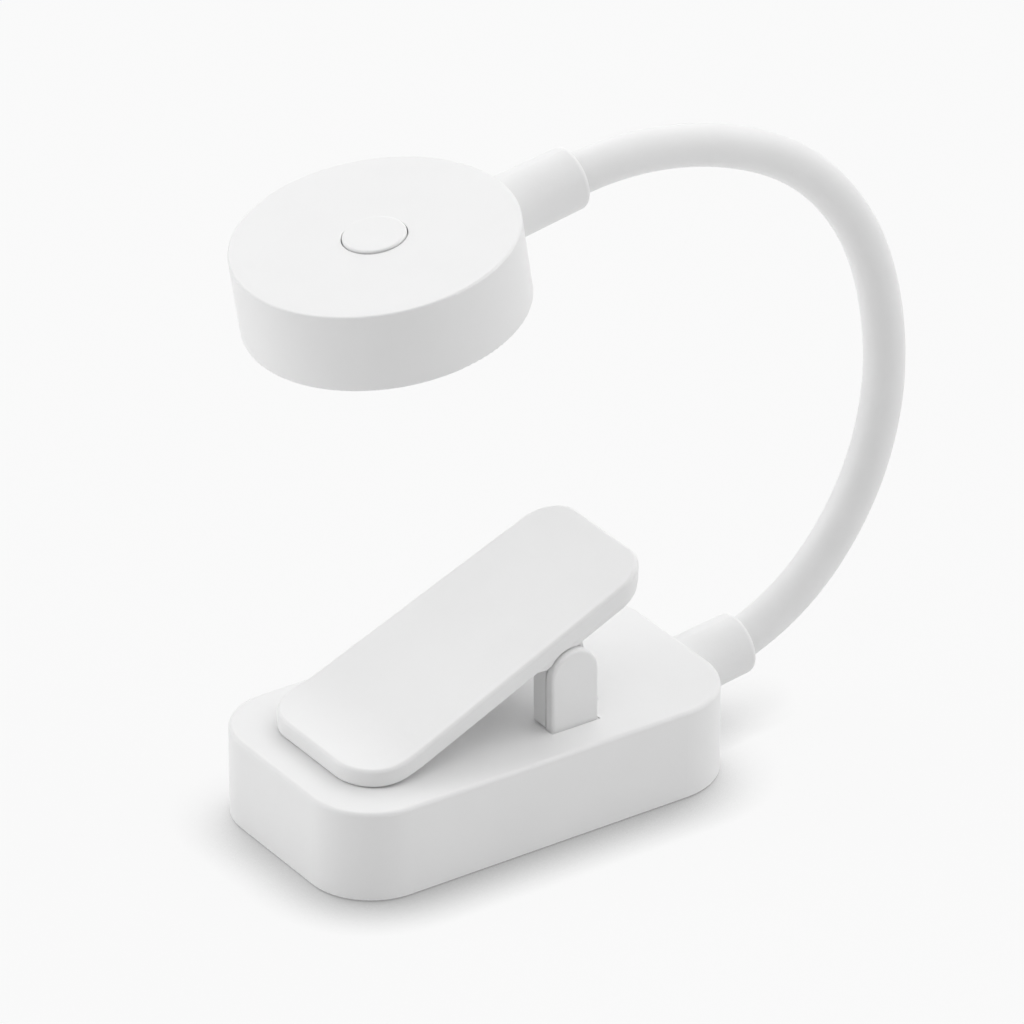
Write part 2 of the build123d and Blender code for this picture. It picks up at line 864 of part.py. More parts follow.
# Rim that stiffens the tail from below. It stands back a little from the lever's
# side, starts ahead of the ears and leaves room round them.
rim_start = pin_x - lever_rim_front
rim_full = rim_start + 2 * lever_rim_depth
with BuildPart() as tail_rim:
    with BuildSketch(Plane.XZ):
        with BuildLine():
            Polyline(
                (rim_start, lever_under(rim_start) + lug_root),
                (rim_start, lever_under(rim_start)),
                (rim_full, lever_under(rim_full) - lever_rim_depth),
                (lever_tail_x, lever_under(lever_tail_x) - lever_rim_depth),
                (lever_tail_x, lever_under(lever_tail_x) + lug_root),
                close=True,
            )
        make_face()
    extrude(amount=lever_nose_half_width, both=True)
    with BuildSketch(Plane.XY.offset(deck_height)):
        add(lever_outline(lever_rim_inset))
        add(lever_outline(lever_rim_inset + lever_rim_width), mode=Mode.SUBTRACT)
    extrude(amount=nose_top + lever_tail_x, mode=Mode.INTERSECT)
    rim_bottom = tail_rim.faces().filter_by(lambda f: f.normal_at().Z < -0.5)
    fillet(outer_edges(rim_bottom), lever_rim_round)
    with Locations(Plane(origin=pin_point, z_dir=(0, 1, 0))):
        Cylinder(ear_radius + lever_rim_relief, 4 * ear_inner_y, mode=Mode.SUBTRACT)

with BuildPart() as clip_lever:
    with BuildSketch(Plane.XZ) as lever_side:
        with BuildLine():
            Polyline(
                (nose_x, nose_under),
                (nose_x, nose_top),
                (bend_x, nose_top),
                (lever_tail_x, nose_top + (lever_tail_x - bend_x) * slope_tan),
                (lever_tail_x, lever_under(lever_tail_x)),
                (under_bend_x, nose_under),
                close=True,
            )
        make_face()
        corners = lever_side.vertices()
        top_bend = corners.sort_by_distance((bend_x, nose_top))[0]
        under_bend = corners.sort_by_distance((under_bend_x, nose_under))[0]
        fillet(top_bend, lever_bend_radius)
        under_bend = lever_side.vertices().sort_by_distance((under_bend_x, nose_under))[0]
        fillet(under_bend, lever_bend_radius + lever_thickness)
    extrude(amount=lever_nose_half_width + 1, both=True)
    with BuildSketch(Plane.XY.offset(deck_height)):
        add(lever_outline(0))
    extrude(amount=nose_top + lever_tail_x, mode=Mode.INTERSECT)
    top_faces = clip_lever.faces().filter_by(lambda f: f.normal_at().Z > 0.5)
    fillet(outer_edges(top_faces), lever_edge_round)
    under_faces = clip_lever.faces().filter_by(lambda f: f.normal_at().Z < -0.5)
    fillet(outer_edges(under_faces), lever_under_round)
    add(tail_rim.part)

    # Two lugs hang from the plate inside the ears, turn on the pin and reach down
    # almost to the deck. A flat at the heel of each meets the deck when the lever is
    # fully open.
    lug_front = pin_x - ear_radius
    stop_start = pin_point + heading_vector(lever_open_angle - 90) * (pin_height - fit_gap)
    stop_end = stop_start + heading_vector(lever_open_angle) * stop_length
    for side in (-1, 1):
        with BuildSketch(Plane.XZ.offset(-side * (ear_inner_y - lug_gap))):
            with BuildLine():
                Polyline(
                    (lug_front, lever_under(lug_front) + lug_root),
                    (lug_front, deck_height + lug_foot_gap),
                    (pin_x, deck_height + lug_foot_gap),
                    (stop_start.X, stop_start.Z),
                    (stop_end.X, stop_end.Z),
                    (pin_x + lug_waist, pin_z),
                    (pin_x + lug_neck, lever_under(pin_x + lug_neck) + lug_root),
                    close=True,
                )
            make_face()
        extrude(amount=side * lug_thickness)
    with Locations(Plane(origin=pin_point, z_dir=(0, 1, 0))):
        Cylinder(pin_radius + pin_running_gap, 2 * ear_inner_y, mode=Mode.SUBTRACT)

    # Recess for the upper jaw pad
    with Locations((pad_x, 0, nose_under)):
        Box(
            pad_length + 2 * fit_gap,
            pad_width + 2 * fit_gap,
            pad_thickness,
            align=(Align.CENTER, Align.CENTER, Align.MIN),
            mode=Mode.SUBTRACT,
        )
write(clip_lever, "clip_lever")


# Jaw pads: grooved rubber strips, flush with the deck and with the nose
for name, face_z, align_z in (
    ("lower_jaw_pad", deck_height, Align.MAX),
    ("upper_jaw_pad", nose_under, Align.MIN),
):
    with BuildPart() as pad:
        with Locations((pad_x, 0, face_z)):
            Box(pad_length, pad_width, pad_thickness, align=(Align.CENTER, Align.CENTER, align_z))
            with GridLocations(pad_groove_pitch, 0, pad_groove_count, 1):
                Box(
                    pad_groove_width,
                    pad_width,
                    pad_groove_depth,
                    align=(Align.CENTER, Align.CENTER, align_z),
                    mode=Mode.SUBTRACT,
                )
    write(pad, name)


# Lever spring: a torsion spring round the pin. One leg stands on the deck and the
# other pushes the lever's tail up, which shuts the jaw.
coil_radius = pin_radius + spring_coil_gap + spring_wire_radius
leg_offset = spring_wire_radius + spring_touch_gap
deck_leg = Vector(spring_leg_x - pin_x, leg_offset - pin_height)
lever_leg = Vector(spring_leg_x - pin_x, lever_under(spring_leg_x) - leg_offset / slope_cos - pin_z)


def polar(point):
    return math.degrees(math.atan2(point.Y, point.X))


def tangent_angle(point):
    """How far round the coil a line from point touches it."""
    return math.degrees(math.acos(coil_radius / point.length))


first_angle = polar(deck_leg) - tangent_angle(deck_leg)
last_angle = polar(lever_leg) + tangent_angle(lever_leg) - 360 * (spring_full_turns + 1)
coil_width = spring_pitch * (first_angle - last_angle) / 360
climb = math.cos(math.atan(spring_pitch / (2 * math.pi * coil_radius)))
with BuildPart() as lever_spring:
    with BuildLine() as spring_line:
        place = Plane(origin=pin_point, x_dir=(1, 0, 0), z_dir=(0, -1, 0))
        coil_start, leaving, coil_end, arriving = coil(
            place, coil_radius, first_angle, last_angle, coil_width
        )
        deck_leg_length = math.sqrt(deck_leg.length**2 - coil_radius**2) / climb
        lever_leg_length = math.sqrt(lever_leg.length**2 - coil_radius**2) / climb
        Line(coil_start - leaving * deck_leg_length, coil_start)
        Line(coil_end, coil_end + arriving * lever_leg_length)
    with BuildSketch(Plane(origin=coil_start - leaving * deck_leg_length, z_dir=leaving)):
        Circle(spring_wire_radius)
    sweep(path=spring_line.wire())
write(lever_spring, "lever_spring")
spring_wire = spring_line.wire()


def least_gap(wire, wire_radius):
    """The smallest space between the turns of a wire, measured on points along it."""
    count = 500
    apart = math.ceil(6 * wire_radius * count / wire.length)
    points = [wire.position_at(step / count) for step in range(count + 1)]
    pairs = ((a, b) for a in range(count + 1) for b in range(a + apart, count + 1))
    return min((points[b] - points[a]).length for a, b in pairs) - 2 * wire_radius


def volume_share(piece, section_area, length):
    """Volume over section times length, which is 1 for an unbroken even sweep."""
    return round(piece.part.volume / (section_area * length), 4)


print("lever spring: least gap between turns", round(least_gap(spring_wire, spring_wire_radius), 3))
print(
    "lever spring: volume share",
    volume_share(lever_spring, math.pi * spring_wire_radius**2, spring_wire.length),
)


def draw_arc(arc):
    start, heading, length, turn = arc
    end = arc_end(start, heading, length, turn)
    ThreePointArc(start, arc_through(start, heading_vector(heading), end), end)


def draw_link(number):
    """Draws the middle line of a link. The end links run on into their collars."""
    if number == 1:
        Line(base_socket, bend_start)
        draw_arc(arcs[0])
    draw_arc(arcs[number])
    if number == link_count:
        draw_arc(arcs[-1])
        Line(head_tail, head_socket)


def knuckle(number):
    """The plane across the neck in the middle of a knuckle, facing the lamp head."""
    start, heading, length, turn = arcs[number]
    end = arc_end(start, heading, length, turn)
    return Plane(origin=end, x_dir=(0, 1, 0), z_dir=heading_vector(heading + turn))


# The neck's soft sleeve in links that meet in ball-shaped knuckles: each ends in a
# dome that sits in the hollow end of the next one.
link_count = len(link_turns)
hollow_depth = neck_radius * math.sin(math.radians(link_tilt)) + knuckle_gap
for number in range(1, link_count + 1):
    with BuildPart() as sleeve:
        with BuildLine() as sleeve_line:
            draw_link(number)
        near = Plane(
            origin=sleeve_line.wire() @ 0,
            x_dir=(0, 1, 0),
            z_dir=sleeve_line.wire() % 0,
        )
        with BuildSketch(near):
            Circle(neck_radius)
        sweep(path=sleeve_line.wire())
        if number < link_count:
            with Locations(knuckle(number)):
                Sphere(neck_radius - knuckle_gap, arc_size1=0)
                Cylinder(
                    sleeve_bore_radius,
                    neck_radius,
                    align=(Align.CENTER, Align.CENTER, Align.MIN),
                    mode=Mode.SUBTRACT,
                )
        with BuildSketch(near):
            Circle(sleeve_bore_radius)
        sweep(path=sleeve_line.wire(), mode=Mode.SUBTRACT)
        if number > 1:
            with Locations(knuckle(number - 1)):
                Cylinder(
                    2 * neck_radius,
                    hollow_depth,
                    align=(Align.CENTER, Align.CENTER, Align.MIN),
                    mode=Mode.SUBTRACT,
                )
                Sphere(neck_radius, mode=Mode.SUBTRACT)
    write(sleeve, f"sleeve_{number}")

# The metal core inside the sleeve, a bendable tube, and the two wires inside it.
# Both run past the sleeve's ends into the case and the lamp head.
core_start = neck_radius + core_start_gap
for number in range(1, link_count + 1):
    with BuildPart() as core:
        with BuildLine() as core_line:
            if number == 1:
                Line(base_core_end, base_socket)
            draw_link(number)
            if number < link_count:
                far = knuckle(number)
                Line(far.origin, far.origin + far.z_dir * core_overrun)
            else:
                Line(head_socket, head_core_end)
        with BuildSketch(
            Plane(origin=core_line.wire() @ 0, x_dir=(0, 1, 0), z_dir=core_line.wire() % 0)
        ):
            Circle(core_radius)
            Circle(core_bore_radius, mode=Mode.SUBTRACT)
        sweep(path=core_line.wire())
        if number > 1:
            with Locations(knuckle(number - 1)):
                Cylinder(
                    2 * neck_radius,
                    core_start,
                    align=(Align.CENTER, Align.CENTER, Align.MIN),
                    mode=Mode.SUBTRACT,
                )
    write(core, f"core_{number}")

# Leads come down on the boards a little beyond the ends of the core.
board_top = board_z + board_thickness
base_lead = Vector(board_front + lead_inset, 0, board_top)
head_lead = head_core_end - head_axis * lead_reach
head_lead = head_lead - head_normal * (lamp_board_depth - head_axis_depth)
for number in range(1, link_count + 1):
    with BuildPart() as wires:
        with BuildLine() as wire_line:
            if number == 1:
                Spline(base_lead, base_core_end, tangents=[(0, 0, 1), base_collar_axis])
                Line(base_core_end, base_socket)
            draw_link(number)
            if number < link_count:
                far = knuckle(number)
                Line(far.origin, far.origin + far.z_dir * wire_overrun)
            else:
                Line(head_socket, head_core_end)
                Spline(head_core_end, head_lead, tangents=[head_axis * -1, head_normal * -1])
        with BuildSketch(
            Plane(origin=wire_line.wire() @ 0, x_dir=(0, 1, 0), z_dir=wire_line.wire() % 0)
        ):
            with GridLocations(wire_spacing, 0, 2, 1):
                Circle(wire_radius)
        sweep(path=wire_line.wire())
        if number > 1:
            with Locations(knuckle(number - 1)):
                Cylinder(
                    2 * neck_radius,
                    core_start,
                    align=(Align.CENTER, Align.CENTER, Align.MIN),
                    mode=Mode.SUBTRACT,
                )
    write(wires, f"wires_{number}")


# At each end of the neck a crimped ferrule, a strap across it and two strap screws
for end_name, core_end, hold in (
    ("base", base_core_end, base_hold),
    ("head", head_core_end, head_hold),
):
    with BuildPart() as ferrule:
        with Locations(Plane(origin=core_end, z_dir=hold.x_dir)):
            Cylinder(
                ferrule_radius,
                ferrule_length,
                align=(Align.CENTER, Align.CENTER, Align.MIN),
            )
            Cylinder(
                core_radius + fit_gap / 2,
                ferrule_length,
                align=(Align.CENTER, Align.CENTER, Align.MIN),
                mode=Mode.SUBTRACT,
            )
    write(ferrule, f"{end_name}_ferrule")

    with BuildPart() as strap:
        with BuildSketch(across(hold)):
            Circle(seat_radius + strap_thickness)
            Rectangle(
                2 * (strap_screw_y + strap_boss_radius),
                strap_thickness,
                align=(Align.CENTER, Align.MAX),
            )
            Rectangle(
                2 * strap_screw_y,
                2 * strap_screw_y,
                align=(Align.CENTER, Align.MIN),
                mode=Mode.SUBTRACT,
            )
            Circle(seat_radius, mode=Mode.SUBTRACT)
        extrude(amount=strap_length)
        with BuildSketch(hold):
            with Locations(strap_screw_spots):
                Circle(strap_screw_radius + fit_gap)
        extrude(amount=-strap_thickness, mode=Mode.SUBTRACT)
    write(strap, f"{end_name}_strap")

    with BuildPart() as strap_screws:
        for x, y in strap_screw_spots:
            spot = hold.from_local_coords(Vector(x, y, -strap_thickness))
            with Locations(Plane(origin=spot, x_dir=hold.x_dir, z_dir=hold.z_dir * -1)):
                add(
                    pan_head_screw(
                        board_screw_head_radius,
                        board_screw_head_height,
                        strap_screw_radius,
                        strap_screw_length,
                    )
                )
    write(strap_screws, f"{end_name}_strap_screws")


# Head shell: a flat round cup with a hole for the button in its top, its collar,
# and bosses inside. Sizes below the top face are written as negative z.
roof = -head_wall
cavity_radius = head_radius - head_wall
lamp_board_radius = cavity_radius - lamp_board_gap
lamp_boss_circle = cavity_radius - lamp_boss_inset
led_circle = cavity_radius - led_inset
lamp_boss_spots = [
    (
        lamp_boss_circle * math.cos(math.pi + 2 * math.pi * step / lamp_boss_count),
        lamp_boss_circle * math.sin(math.pi + 2 * math.pi * step / lamp_boss_count),
    )
    for step in range(lamp_boss_count)
]
switch_post_spots = [(0, -switch_post_y), (0, switch_post_y)]
with BuildPart(head_plane) as head_shell:
    Cylinder(head_radius, head_height, align=(Align.CENTER, Align.CENTER, Align.MAX))
    fillet(head_shell.edges().filter_by(GeomType.CIRCLE), head_edge_round)
    # Collar, from the side wall outwards
    with Locations(Plane(origin=(cavity_radius, 0, -head_axis_depth), z_dir=(1, 0, 0))):
        Cone(
            collar_root_radius,
            collar_radius,
            head_wall + head_collar_length,
            align=(Align.CENTER, Align.CENTER, Align.MIN),
        )
    outward = Axis(head_origin, head_axis)
    collar_rim = head_shell.faces().sort_by(outward)[-1].edges()
    fillet(collar_rim, end_round(collar_radius, collar_mouth_radius))
    # Cavity, open underneath
    with Locations((0, 0, roof)):
        Cylinder(
            cavity_radius,
            head_height,
            align=(Align.CENTER, Align.CENTER, Align.MAX),
            mode=Mode.SUBTRACT,
        )
    # Bore of the collar with its wider mouth
    with Locations(Plane(origin=(cavity_radius - head_wall, 0, -head_axis_depth), z_dir=(1, 0, 0))):
        Cylinder(
            collar_bore_radius,
            2 * head_wall + head_collar_length,
            align=(Align.CENTER, Align.CENTER, Align.MIN),
            mode=Mode.SUBTRACT,
        )
    collar_mouth_x = head_radius + head_collar_length
    with Locations(Plane(origin=(collar_mouth_x, 0, -head_axis_depth), z_dir=(-1, 0, 0))):
        Cone(
            collar_mouth_radius,
            collar_bore_radius,
            collar_mouth_depth,
            align=(Align.CENTER, Align.CENTER, Align.MIN),
            mode=Mode.SUBTRACT,
        )
    # Hole for the button
    Cylinder(
        button_radius + button_gap,
        head_wall,
        align=(Align.CENTER, Align.CENTER, Align.MAX),
        mode=Mode.SUBTRACT,
    )
    # Posts for the switch board and bosses for the lamp board
    for spots, depth, screw_depth in (
        (switch_post_spots, switch_board_depth, strap_screw_length - board_thickness),
        (lamp_boss_spots, lamp_board_depth, lamp_screw_length - board_thickness),
    ):
        with Locations([(x, y, -depth) for x, y in spots]):
            Cylinder(
                small_boss_radius,
                depth - head_wall,
                align=(Align.CENTER, Align.CENTER, Align.MIN),
            )
            Cylinder(
                board_screw_radius,
                screw_depth,
                align=(Align.CENTER, Align.CENTER, Align.MIN),
                mode=Mode.SUBTRACT,
            )
    # Saddle and bosses for the neck's strap
    head_saddle_height = head_axis_depth - head_wall
    with BuildSketch(across(head_hold)):
        Rectangle(2 * strap_screw_y, head_saddle_height, align=(Align.CENTER, Align.MIN))
        Circle(seat_radius, mode=Mode.SUBTRACT)
    extrude(amount=strap_length)
    with BuildSketch(head_hold):
        with Locations(strap_screw_spots):
            Circle(strap_boss_radius)
    extrude(amount=head_saddle_height)
    with BuildSketch(head_hold):
        with Locations(strap_screw_spots):
            Circle(strap_screw_radius)
    extrude(amount=strap_screw_length - strap_thickness, mode=Mode.SUBTRACT)
write(head_shell, "head_shell")

# Push button and the plunger of the switch under it
flange_top = roof - fit_gap
switch_top = switch_height - switch_board_depth
plunger_top = switch_top + plunger_height
with BuildPart(head_plane) as button_cap:
    with Locations((0, 0, button_proud)):
        Cylinder(
            button_radius,
            button_proud - flange_top,
            align=(Align.CENTER, Align.CENTER, Align.MAX),
        )
    upward = Axis(head_origin, head_normal)
    fillet(button_cap.faces().sort_by(upward)[-1].edges(), button_round)
    with Locations((0, 0, flange_top)):
        Cylinder(
            button_flange_radius,
            button_flange_thickness,
            align=(Align.CENTER, Align.CENTER, Align.MAX),
        )
        Cylinder(
            button_stem_radius,
            flange_top - plunger_top,
            align=(Align.CENTER, Align.CENTER, Align.MAX),
        )
write(button_cap, "button_cap")

with BuildPart(head_plane) as switch_plunger:
    with Locations((0, 0, plunger_top)):
        Cylinder(
            plunger_radius,
            2 * plunger_height,
            align=(Align.CENTER, Align.CENTER, Align.MAX),
        )
write(switch_plunger, "switch_plunger")

with BuildPart(head_plane) as tact_switch:
    with Locations((0, 0, switch_top)):
        Box(
            switch_size,
            switch_size,
            switch_height,
            align=(Align.CENTER, Align.CENTER, Align.MAX),
        )
        Cylinder(
            plunger_radius + plunger_side_gap,
            plunger_bore_depth,
            align=(Align.CENTER, Align.CENTER, Align.MAX),
            mode=Mode.SUBTRACT,
        )
write(tact_switch, "tact_switch")

with BuildPart(head_plane) as switch_board:
    with Locations((0, 0, -switch_board_depth)):
        Box(
            switch_board_length,
            switch_board_width,
            board_thickness,
            align=(Align.CENTER, Align.CENTER, Align.MAX),
        )
    with Locations([(x, y, -switch_board_depth) for x, y in switch_post_spots]):
        Cylinder(
            board_screw_radius + fit_gap,
            board_thickness,
            align=(Align.CENTER, Align.CENTER, Align.MAX),
            mode=Mode.SUBTRACT,
        )
write(switch_board, "switch_board")

with BuildPart(head_plane) as lamp_board:
    with Locations((0, 0, -lamp_board_depth)):
        Cylinder(
            lamp_board_radius,
            board_thickness,
            align=(Align.CENTER, Align.CENTER, Align.MAX),
        )
    with Locations([(x, y, -lamp_board_depth) for x, y in lamp_boss_spots]):
        Cylinder(
            board_screw_radius + fit_gap,
            board_thickness,
            align=(Align.CENTER, Align.CENTER, Align.MAX),
            mode=Mode.SUBTRACT,
        )
write(lamp_board, "lamp_board")

# Screws of the two boards, put in from underneath
for name, spots, depth, screw_length in (
    ("switch_screws", switch_post_spots, switch_board_depth, strap_screw_length),
    ("lamp_screws", lamp_boss_spots, lamp_board_depth, lamp_screw_length),
):
    with BuildPart(head_plane) as screws:
        with Locations([below(x, y, -depth - board_thickness) for x, y in spots]):
            add(
                pan_head_screw(
                    board_screw_head_radius,
                    board_screw_head_height,
                    board_screw_radius,
                    screw_length,
                )
            )
    write(screws, name)

# Light-emitting diodes in a ring under the lamp board
with BuildPart(head_plane) as leds:
    with Locations((0, 0, -lamp_board_depth - board_thickness)):
        with PolarLocations(led_circle, led_count, start_angle=180 / led_count):
            Box(
                led_length,
                led_width,
                led_height,
                align=(Align.CENTER, Align.CENTER, Align.MAX),
            )
write(leds, "leds")

# Lens: a frosted disc whose rim stands against the lamp board
lens_bottom = lens_recess - head_height
with BuildPart(head_plane) as lens:
    with Locations((0, 0, lens_bottom)):
        Cylinder(
            cavity_radius - lens_gap,
            head_height - lens_recess - lamp_board_depth - board_thickness,
            align=(Align.CENTER, Align.CENTER, Align.MIN),
        )
    with Locations((0, 0, lens_bottom + lens_thickness)):
        Cylinder(
            cavity_radius - lens_gap - lens_rim_width,
            head_height,
            align=(Align.CENTER, Align.CENTER, Align.MIN),
            mode=Mode.SUBTRACT,
        )
write(lens, "lens")
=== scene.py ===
import math
import bpy
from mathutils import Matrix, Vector


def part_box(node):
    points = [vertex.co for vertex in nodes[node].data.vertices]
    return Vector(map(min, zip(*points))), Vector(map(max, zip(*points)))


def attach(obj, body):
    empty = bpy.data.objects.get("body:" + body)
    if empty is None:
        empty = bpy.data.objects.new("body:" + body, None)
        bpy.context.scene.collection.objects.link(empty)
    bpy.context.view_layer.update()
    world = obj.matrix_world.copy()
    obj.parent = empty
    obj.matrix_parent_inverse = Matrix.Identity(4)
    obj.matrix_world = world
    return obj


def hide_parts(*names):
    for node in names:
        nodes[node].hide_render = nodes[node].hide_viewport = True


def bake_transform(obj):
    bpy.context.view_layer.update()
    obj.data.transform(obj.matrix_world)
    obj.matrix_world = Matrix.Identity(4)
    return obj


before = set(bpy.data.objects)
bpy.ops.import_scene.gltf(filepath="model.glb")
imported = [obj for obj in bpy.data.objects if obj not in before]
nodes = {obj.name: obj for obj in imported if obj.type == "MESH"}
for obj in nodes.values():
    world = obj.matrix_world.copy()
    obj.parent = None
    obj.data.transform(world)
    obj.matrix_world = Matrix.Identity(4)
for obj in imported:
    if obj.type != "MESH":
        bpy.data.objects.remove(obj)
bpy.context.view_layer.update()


# Stage: a plain pale floor inside a light tent, seen with a long lens from well back.
# Straight to the camera the floor glows almost evenly and only darkens close to the foot
# of the light, on the sides that face the camera, as the soft shadow in the photo does.
def calculate(tree, operation, first, second):
    """One step of arithmetic on a pattern; second is a pattern or a number."""
    node = tree.nodes.new("ShaderNodeMath")
    node.operation = operation
    tree.links.new(first, node.inputs[0])
    if isinstance(second, (int, float)):
        node.inputs[1].default_value = second
    else:
        tree.links.new(second, node.inputs[1])
    return node.outputs["Value"]


def colour_steps(tree, factor, steps, sharp=False):
    """A colour for each place along the factor, given as (place, colour) pairs."""
    ramp = tree.nodes.new("ShaderNodeValToRGB")
    ramp.color_ramp.interpolation = "CONSTANT" if sharp else "LINEAR"
    marks = ramp.color_ramp.elements
    while len(marks) < len(steps):
        marks.new(0.5)
    for mark, (position, colour) in zip(marks, steps):
        mark.position = position
        mark.color = (*colour, 1)
    tree.links.new(factor, ramp.inputs["Fac"])
    return ramp.outputs["Color"]


def seen_ray(tree):
    """1 for what the camera sees straight, mirrored or through glass, and 0 elsewhere."""
    path = tree.nodes.new("ShaderNodeLightPath")
    seen = path.outputs["Is Camera Ray"]
    for way in ("Is Glossy Ray", "Is Transmission Ray"):
        seen = calculate(tree, "MAXIMUM", seen, path.outputs[way])
    return seen


def mix_shaders(tree, share, first, second, output):
    mix = tree.nodes.new("ShaderNodeMixShader")
    tree.links.new(share, mix.inputs["Fac"])
    tree.links.new(first, mix.inputs[1])
    tree.links.new(second, mix.inputs[2])
    tree.links.new(mix.outputs["Shader"], output.inputs["Surface"])


scene = bpy.context.scene
scene.view_settings.view_transform = "Standard"

floor_tone = 0.93
glow_share = 0.93
shadow_reach = 0.012
shadow_lean = (0.4, 0.65, 0.65)
painted_shadow_tones = ((0.25, 0.3), (0.45, 0.55), (0.75, 0.82), (0.95, 0.955))
bpy.ops.object.select_all(action="DESELECT")
bpy.ops.mesh.primitive_plane_add(size=8.0)
floor = bpy.context.object
floor.name = "floor"
floor_paint = bpy.data.materials.new("pale_floor")
floor_paint.use_nodes = True
floor_tree = floor_paint.node_tree
floor_shader = floor_tree.nodes["Principled BSDF"]
floor_shader.inputs["Base Color"].default_value = (floor_tone, floor_tone, floor_tone, 1)
floor_shader.inputs["Roughness"].default_value = 0.9
floor_shader.inputs["Specular IOR Level"].default_value = 0.0
# Painted shadow: to the camera, in mirrors and through glass the floor's glow is darkened where
# ambient occlusion, leaning away from the camera, finds the object close by; the lamps' own shadow
# shows only through the small lit share.
lean = floor_tree.nodes.new("ShaderNodeCombineXYZ")
for axis_name, part in zip("XYZ", shadow_lean):
    lean.inputs[axis_name].default_value = part
nearness = floor_tree.nodes.new("ShaderNodeAmbientOcclusion")
nearness.samples = 8
nearness.inputs["Distance"].default_value = shadow_reach
floor_tree.links.new(lean.outputs["Vector"], nearness.inputs["Normal"])
grey_steps = [(position, (tone, tone, tone)) for position, tone in painted_shadow_tones]
painted_close_shadow = colour_steps(floor_tree, nearness.outputs["AO"], grey_steps)
floor_glow = floor_tree.nodes.new("ShaderNodeEmission")
floor_tree.links.new(painted_close_shadow, floor_glow.inputs["Color"])
mix_shaders(
    floor_tree,
    calculate(floor_tree, "MULTIPLY", seen_ray(floor_tree), glow_share),
    floor_shader.outputs["BSDF"],
    floor_glow.outputs["Emission"],
    floor_tree.nodes["Material Output"],
)
floor.data.materials.append(floor_paint)

# The tent: its cloth lights the object evenly, and to the camera and in reflections it
# shows as a wall of the same tone as the floor.
tent_strength = 0.102
wall_tone = 0.955
world = bpy.data.worlds.new("light_tent")
scene.world = world
world.use_nodes = True
tent = world.node_tree
tent.nodes.clear()
tent_light = tent.nodes.new("ShaderNodeBackground")
tent_light.inputs["Color"].default_value = (1, 1, 1, 1)
tent_light.inputs["Strength"].default_value = tent_strength
tent_wall = tent.nodes.new("ShaderNodeBackground")
tent_wall.inputs["Color"].default_value = (wall_tone, wall_tone, wall_tone, 1)
mix_shaders(
    tent,
    seen_ray(tent),
    tent_light.outputs["Background"],
    tent_wall.outputs["Background"],
    tent.nodes.new("ShaderNodeOutputWorld"),
)

# Lamps: broad soft suns. Each has its strength and, in degrees, its width, the heading
# that it shines from, counted from the neck's end of the case, and its height.
for lamp_name, strength, width, heading, height in (
    ("lamp_above", 0.638, 110, 0, 89),
    ("lamp_neck_end", 0.685, 60, 0, 40),
    ("lamp_neck_corner", 0.7, 60, 45, 40),
    ("lamp_far_corner", 1.463, 60, 135, 12),
    ("lamp_clip_end", 0.378, 60, 180, 40),
    ("lamp_near_side", 0.289, 60, 270, 65),
    ("lamp_near_corner", 0.657, 60, 315, 40),
):
    bpy.ops.object.light_add(type="SUN")
    lamp = bpy.context.object
    lamp.name = lamp_name
    lamp.data.energy = strength
    lamp.data.angle = math.radians(width)
    lamp.rotation_euler = (math.radians(90 - height), 0, math.radians(heading + 90))

# Camera: it stands about 1.6 m away beyond the clip's corner of the case and looks down.
camera_dip = 28.92379
camera_turn = -34.15152
bpy.ops.object.camera_add(
    location=(-0.777798, -1.158124, 0.829213),
    rotation=(math.radians(90 - camera_dip), 0, math.radians(camera_turn)),
)
camera = bpy.context.object
camera.name = "camera"
camera.data.sensor_width = 36
camera.data.lens = 308.245
camera.data.clip_end = 20
scene.camera = camera


# Case: the shell, the bottom plate and the battery door are moulded in white plastic.
# The mould is spark-eroded, which leaves a fine even matt grain, and handling has
# rubbed the edges a little smoother.
def start_material(name):
    """A new material with its node tree, its shader and the piece's own coordinates."""
    material = bpy.data.materials.new(name)
    material.use_nodes = True
    tree = material.node_tree
    place = tree.nodes.new("ShaderNodeTexCoord").outputs["Object"]
    return material, tree, tree.nodes["Principled BSDF"], place


def add_noise(tree, place, size, detail=2.0):
    """A cloudy pattern whose lumps are about size across."""
    noise = tree.nodes.new("ShaderNodeTexNoise")
    noise.inputs["Scale"].default_value = 1 / size
    noise.inputs["Detail"].default_value = detail
    tree.links.new(place, noise.inputs["Vector"])
    return noise.outputs["Fac"]


def stretch(tree, place, scale):
    """The piece's coordinates, drawn out along one axis or squeezed."""
    mapping = tree.nodes.new("ShaderNodeMapping")
    mapping.inputs["Scale"].default_value = scale
    tree.links.new(place, mapping.inputs["Vector"])
    return mapping.outputs["Vector"]


def value_range(tree, factor, low, high, start=0.0, end=1.0):
    spread = tree.nodes.new("ShaderNodeMapRange")
    spread.inputs["From Min"].default_value = start
    spread.inputs["From Max"].default_value = end
    spread.inputs["To Min"].default_value = low
    spread.inputs["To Max"].default_value = high
    tree.links.new(factor, spread.inputs["Value"])
    return spread.outputs["Result"]


def along_axis(tree, place, axis_name):
    """How far along one axis of the piece each point lies."""
    split = tree.nodes.new("ShaderNodeSeparateXYZ")
    tree.links.new(place, split.inputs["Vector"])
    return split.outputs[axis_name]


def lay_over(tree, share, below, colour):
    """The colour below, with a plain colour laid over it by share."""
    layers = tree.nodes.new("ShaderNodeMix")
    layers.data_type = "RGBA"
    tree.links.new(share, layers.inputs["Factor"])
    tree.links.new(below, layers.inputs["A"])
    layers.inputs["B"].default_value = (*colour, 1)
    return layers.outputs["Result"]


def raise_surface(tree, shader, height, depth, strength=1.0):
    bump = tree.nodes.new("ShaderNodeBump")
    bump.inputs["Strength"].default_value = strength
    bump.inputs["Distance"].default_value = depth
    tree.links.new(height, bump.inputs["Height"])
    tree.links.new(bump.outputs["Normal"], shader.inputs["Normal"])


